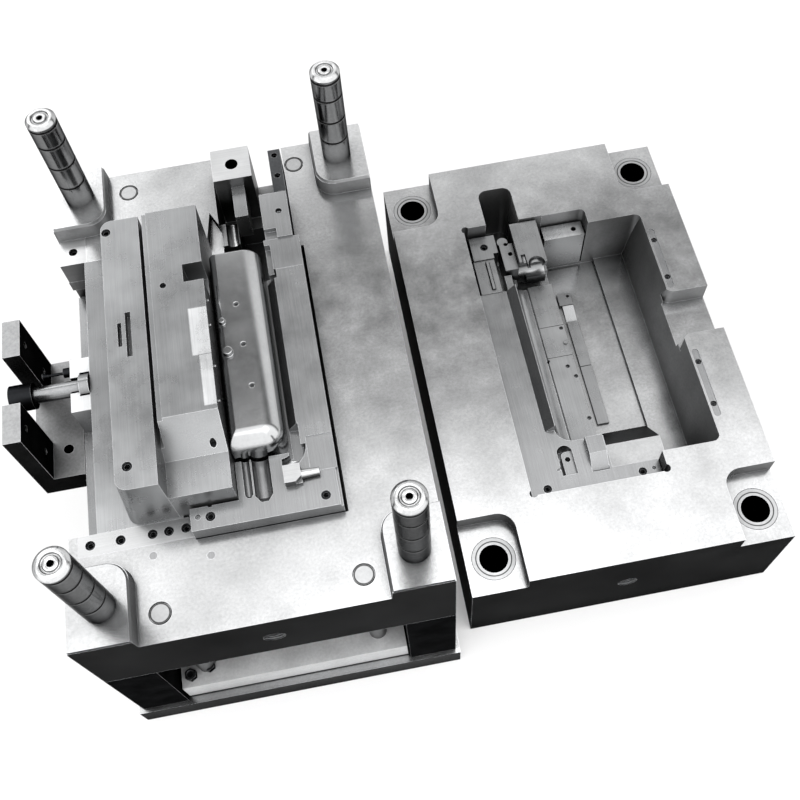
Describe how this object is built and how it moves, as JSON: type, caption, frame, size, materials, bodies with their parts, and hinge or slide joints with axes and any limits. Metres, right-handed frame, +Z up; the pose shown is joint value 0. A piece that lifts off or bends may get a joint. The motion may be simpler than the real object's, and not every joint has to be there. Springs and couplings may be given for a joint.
{
  "type": "injection mould",
  "caption": "Two-part injection mould, opened: core half with guide pins, ejector set and two sliders, beside the cavity half.",
  "frame": {"origin": "centre of the core half's underside, where its knock-out bore opens", "axes": "+Z up, +X from the core half to the cavity half, +Y away from the viewer along the mould's length"},
  "size_m": [1, 0.741, 0.535],
  "materials": {
    "bottom_clamp_plate": "ground tool steel",
    "spacer_block_left": "dark ground steel",
    "spacer_block_right": "dark ground steel",
    "core_plate": "ground tool steel",
    "frame_screws": "black oxide",
    "guide_pins": "ground and polished",
    "support_pillars": "ground tool steel",
    "stop_buttons": "black oxide",
    "core_insert": "ground tool steel",
    "core_bar": "polished moulding surface",
    "core_insert_screws": "black oxide",
    "near_gib_rail": "ground tool steel",
    "far_gib_block": "ground tool steel",
    "gib_screws": "black oxide",
    "slider_wear_plate": "ground tool steel",
    "wear_plate_screws": "black oxide",
    "insert_block_a": "ground tool steel",
    "insert_block_b": "ground tool steel",
    "runner_pin_block": "ground tool steel",
    "end_guide_rail": "dark ground steel",
    "end_rail_screws": "black oxide",
    "flush_plugs": "ground tool steel",
    "hydraulic_bracket": "dark ground steel",
    "bracket_screws": "black oxide",
    "slider_foot": "ground tool steel",
    "slider_heel_plate": "ground tool steel",
    "slider_nose_block": "ground tool steel",
    "slider_nose_strips": "bright ground steel",
    "slider_core_pins": "ground tool steel",
    "slider_screws": "black oxide",
    "rod_coupling": "bright ground steel",
    "coupling_screws": "black oxide",
    "piston_rod": "ground and polished",
    "rod_end_nut": "black oxide",
    "trip_screw": "black oxide",
    "end_slider_carriage": "ground tool steel",
    "end_slider_arm": "ground tool steel",
    "arm_screw": "black oxide",
    "ejector_base_plate": "ground tool steel",
    "ejector_retainer_plate": "ground tool steel",
    "ejector_plate_screws": "black oxide",
    "return_pins": "ground and polished",
    "ejector_pins": "ground and polished",
    "cavity_plate": "ground tool steel",
    "guide_bushings": "ground tool steel",
    "cavity_insert": "ground tool steel",
    "cavity_strips": "ground tool steel",
    "pocket_strips": "ground tool steel",
    "shelf_block": "bright ground steel",
    "corner_block": "ground tool steel",
    "side_block": "ground tool steel",
    "gate_block": "ground tool steel",
    "gate_side_block": "ground tool steel",
    "near_block": "ground tool steel",
    "locking_wear_plates": "ground tool steel",
    "wear_plate_bolts": "black oxide",
    "cavity_insert_screws": "black oxide",
    "sprue_bushing": "ground tool steel",
    "locating_ring": "ground tool steel",
    "locating_ring_screws": "black oxide"
  },
  "bodies": {
    "core_half": {"bottom_clamp_plate": "bottom_clamp_plate", "spacer_block_left": "spacer_block_left", "spacer_block_right": "spacer_block_right", "core_plate": "core_plate", "frame_screws": "frame_screws", "guide_pins": "guide_pins", "support_pillars": "support_pillars", "stop_buttons": "stop_buttons", "core_insert": "core_insert", "core_bar": "core_bar", "core_insert_screws": "core_insert_screws", "near_gib_rail": "near_gib_rail", "far_gib_block": "far_gib_block", "gib_screws": "gib_screws", "slider_wear_plate": "slider_wear_plate", "wear_plate_screws": "wear_plate_screws", "insert_block_a": "insert_block_a", "insert_block_b": "insert_block_b", "runner_pin_block": "runner_pin_block", "end_guide_rail": "end_guide_rail", "end_rail_screws": "end_rail_screws", "flush_plugs": "flush_plugs", "hydraulic_bracket": "hydraulic_bracket", "bracket_screws": "bracket_screws"},
    "side_slider": {"slider_foot": "slider_foot", "slider_heel_plate": "slider_heel_plate", "slider_nose_block": "slider_nose_block", "slider_nose_strips": "slider_nose_strips", "slider_core_pins": "slider_core_pins", "slider_screws": "slider_screws", "rod_coupling": "rod_coupling", "coupling_screws": "coupling_screws", "piston_rod": "piston_rod", "rod_end_nut": "rod_end_nut", "trip_screw": "trip_screw"},
    "end_slider": {"end_slider_carriage": "end_slider_carriage", "end_slider_arm": "end_slider_arm", "arm_screw": "arm_screw"},
    "ejector_assembly": {"ejector_base_plate": "ejector_base_plate", "ejector_retainer_plate": "ejector_retainer_plate", "ejector_plate_screws": "ejector_plate_screws", "return_pins": "return_pins", "ejector_pins": "ejector_pins"},
    "cavity_half": {"cavity_plate": "cavity_plate", "guide_bushings": "guide_bushings", "cavity_insert": "cavity_insert", "cavity_strips": "cavity_strips", "pocket_strips": "pocket_strips", "shelf_block": "shelf_block", "corner_block": "corner_block", "side_block": "side_block", "gate_block": "gate_block", "gate_side_block": "gate_side_block", "near_block": "near_block", "locking_wear_plates": "locking_wear_plates", "wear_plate_bolts": "wear_plate_bolts", "cavity_insert_screws": "cavity_insert_screws", "sprue_bushing": "sprue_bushing", "locating_ring": "locating_ring", "locating_ring_screws": "locating_ring_screws"}
  },
  "joints": [
    {"name": "side_slider_slide", "type": "slide", "parent": "core_half", "child": "side_slider", "axis": [-1, 0, 0], "range_m": [0, 0.04]},
    {"name": "end_slider_slide", "type": "slide", "parent": "core_half", "child": "end_slider", "axis": [0, 1, 0], "range_m": [0, 0.02]},
    {"name": "ejector_slide", "type": "slide", "parent": "core_half", "child": "ejector_assembly", "axis": [0, 0, 1], "range_m": [0, 0.03]},
    {"name": "cavity_lift", "type": "slide", "parent": "core_half", "child": "cavity_half", "axis": [0, 0, 1], "range_m": [0, 0.25]}
  ]
}
